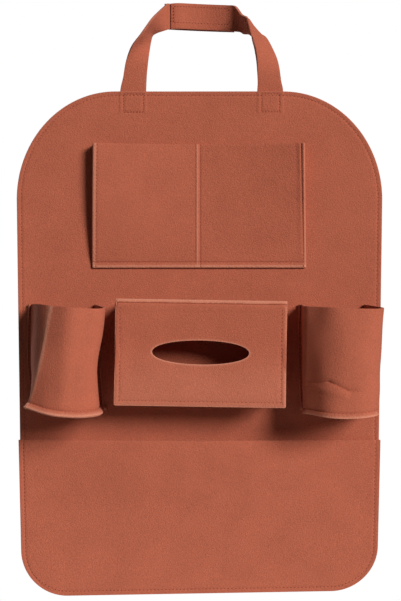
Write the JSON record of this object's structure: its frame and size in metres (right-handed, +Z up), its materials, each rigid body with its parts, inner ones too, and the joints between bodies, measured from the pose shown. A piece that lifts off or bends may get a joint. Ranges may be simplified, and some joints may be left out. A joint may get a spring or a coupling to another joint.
{
  "type": "car seat back organizer",
  "caption": "Felt organizer that hangs behind a car seat, with flat front pockets, a slotted tissue box pocket, round-bottomed bottle pockets and a strap loop.",
  "frame": {"origin": "middle of the backing panel's rear face, which lies against the seat back", "axes": "+Z up along the panel towards the strap, the pockets face -Y, +X to the right of a viewer who looks at the pockets"},
  "size_m": [0.4, 0.1218, 0.6515],
  "materials": {
    "felt": "matte pressed felt, terracotta red",
    "tape": "hook and loop tape, matte, terracotta red"
  },
  "bodies": {
    "root": {"back_panel": "felt", "magazine_pocket": "felt", "phone_pocket": "felt", "tissue_pocket_face": "felt", "tissue_pocket_gusset": "felt", "left_bottle_pocket": "felt", "left_bottle_bottom": "felt", "right_bottle_pocket": "felt", "right_bottle_bottom": "felt", "left_strap": "felt", "right_strap": "felt", "hook_tape": "tape", "loop_tape": "tape"}
  },
  "joints": []
}
